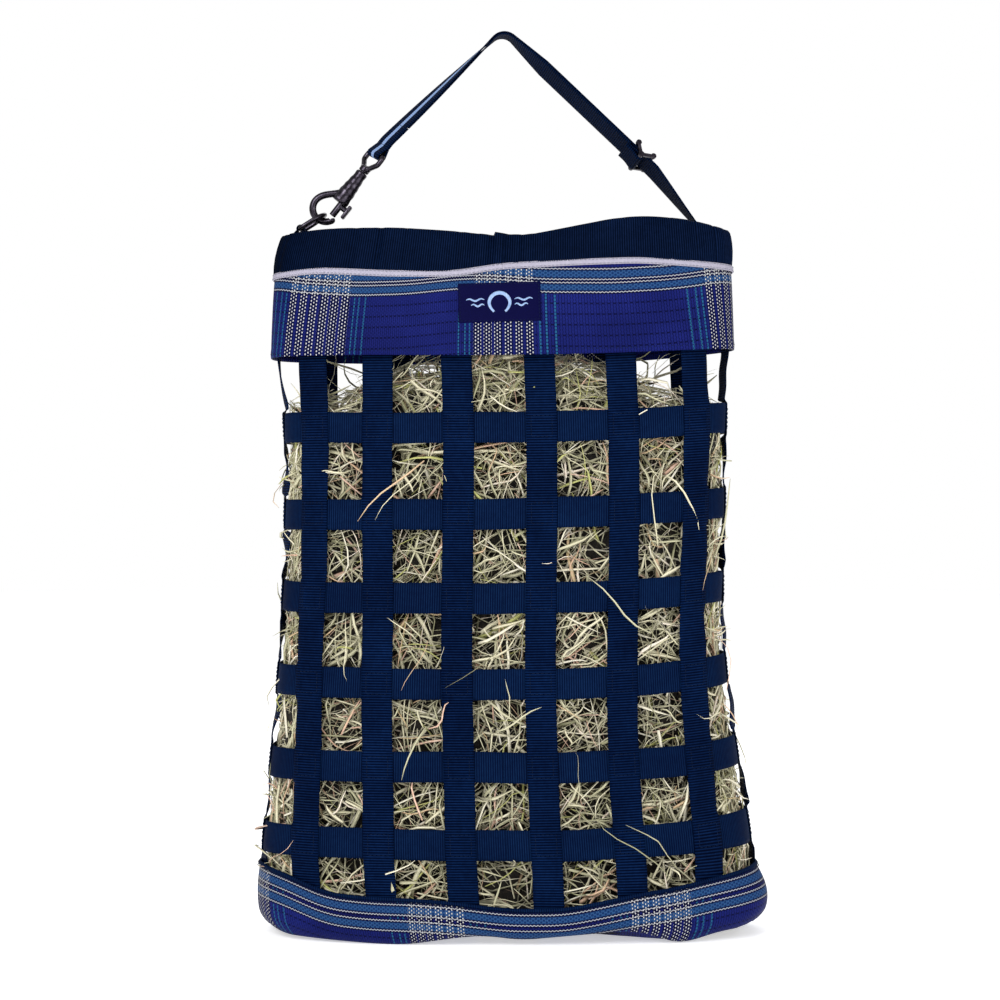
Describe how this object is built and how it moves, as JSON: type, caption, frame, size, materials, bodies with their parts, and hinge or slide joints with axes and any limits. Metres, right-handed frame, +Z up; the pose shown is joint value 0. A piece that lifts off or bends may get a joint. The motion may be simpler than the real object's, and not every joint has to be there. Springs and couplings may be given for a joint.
{
  "type": "hay net",
  "caption": "Stuffed hay net of sewn navy webbing with plaid mesh bands, open gathered mouth, base panel and a clip-on adjustable hanging strap.",
  "frame": {"origin": "middle of the base panel's underside, on the floor", "axes": "+Z up towards the hanging strap, +X to the right seen from the front, -Y the labelled front"},
  "size_m": [0.4287, 0.172, 0.7637],
  "materials": {
    "navy_webbing": "satin",
    "hem_webbing": "satin",
    "hanger_webbing": "satin",
    "trim_ribbon": "satin",
    "plaid_mesh": "satin",
    "label": "satin",
    "gunmetal": "polished",
    "spring_steel": "polished",
    "hay": "matte"
  },
  "bodies": {
    "bag": {"hem_webbing": "hem_webbing", "trim_ribbon": "trim_ribbon", "upper_mesh_band": "plaid_mesh", "lower_mesh_band": "plaid_mesh", "base_binding": "navy_webbing", "base_panel": "plaid_mesh", "label_patch": "label", "hay_fill": "hay", "strap_anchor": "hanger_webbing", "level_strap_1": "navy_webbing", "level_strap_2": "navy_webbing", "level_strap_3": "navy_webbing", "level_strap_4": "navy_webbing", "level_strap_5": "navy_webbing", "level_strap_6": "navy_webbing", "upright_strap_01": "navy_webbing", "upright_strap_02": "navy_webbing", "upright_strap_03": "navy_webbing", "upright_strap_04": "navy_webbing", "upright_strap_05": "navy_webbing", "upright_strap_06": "navy_webbing", "upright_strap_07": "navy_webbing", "upright_strap_08": "navy_webbing", "upright_strap_09": "navy_webbing", "upright_strap_10": "navy_webbing", "upright_strap_11": "navy_webbing", "upright_strap_12": "navy_webbing", "upright_strap_13": "navy_webbing", "upright_strap_14": "navy_webbing"},
    "hanger": {"hanger_strap": "hanger_webbing", "snap_eye": "gunmetal", "ring_tab": "hanger_webbing"},
    "ring": {"d_ring": "gunmetal"},
    "snap": {"snap_casting": "gunmetal", "bolt_spring": "spring_steel"},
    "bolt": {"snap_bolt": "gunmetal"},
    "slider": {"slider_frame": "gunmetal", "slider_loop": "hanger_webbing"}
  },
  "joints": [
    {"name": "hanger_flop", "type": "hinge", "parent": "bag", "child": "hanger", "pos_m": [0, 0, 0.593], "axis": [1, 0, 0], "range_deg": [-60, 60]},
    {"name": "ring_swing", "type": "hinge", "parent": "hanger", "child": "ring", "pos_m": [-0.176, 0, 0.5965], "axis": [0, 1, 0], "range_deg": [-8, 0]},
    {"name": "snap_swivel", "type": "hinge", "parent": "hanger", "child": "snap", "pos_m": [-0.1166, 0, 0.6543], "axis": [-0.6157, 0, -0.788], "range_deg": [-20, 20]},
    {"name": "bolt_slide", "type": "slide", "parent": "snap", "child": "bolt", "axis": [0.6157, 0, 0.788], "range_m": [0, 0.008], "stiffness_N_per_m": 400, "springref_m": -0.004, "deforming": ["bolt_spring"]},
    {"name": "slider_slide", "type": "slide", "parent": "hanger", "child": "slider", "axis": [-0.7253, 0, 0.6885], "range_m": [-0.008, 0.06]}
  ]
}
